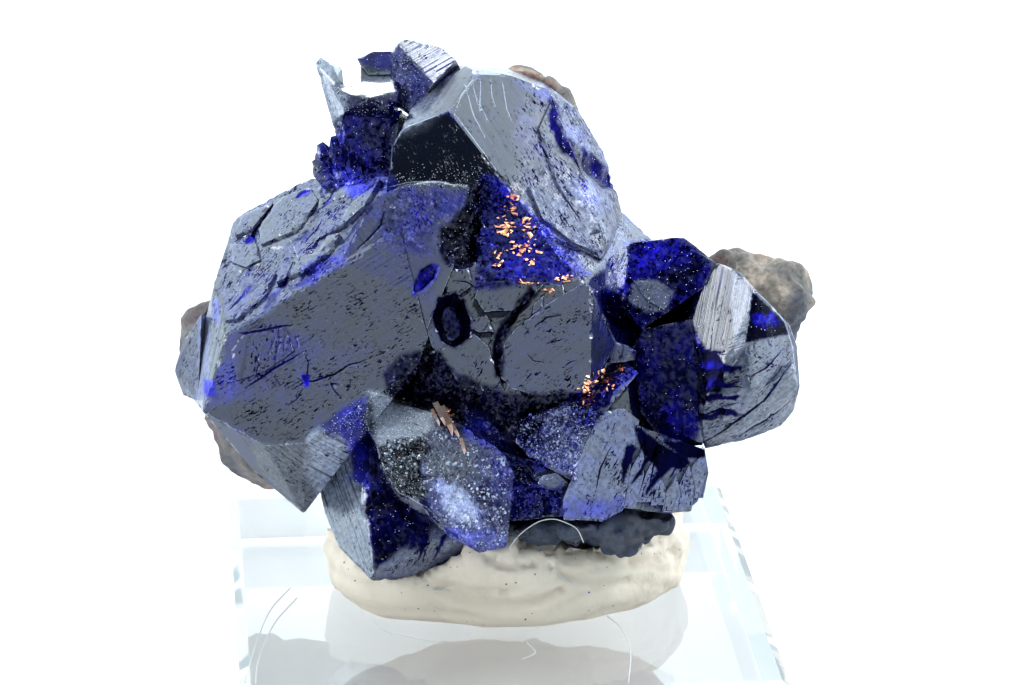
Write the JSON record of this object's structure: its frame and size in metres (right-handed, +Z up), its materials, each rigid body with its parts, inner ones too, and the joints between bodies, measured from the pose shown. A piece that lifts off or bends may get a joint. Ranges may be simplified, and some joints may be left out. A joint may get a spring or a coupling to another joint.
{
  "type": "azurite specimen",
  "caption": "Cluster of deep blue azurite crystals on brown rock, set in a lump of white mineral tack on a square clear acrylic display block.",
  "frame": {"origin": "centre of the acrylic block's underside", "axes": "+Z up, +X to the right of the display side, -Y towards the viewer of the display side"},
  "size_m": [0.0391, 0.032, 0.0427],
  "materials": {
    "azurite": "glassy crystal faces, deep blue and nearly opaque, striated and frosted in places",
    "rock": "rough brown limonite rock, matt",
    "tack": "soft white putty, kneaded and slightly waxy",
    "acrylic": "clear polished cast acrylic with chamfered edges"
  },
  "bodies": {
    "root": {"azurite_crystals": "azurite", "matrix_rock": "rock", "mineral_tack": "tack", "acrylic_block": "acrylic"}
  },
  "joints": []
}
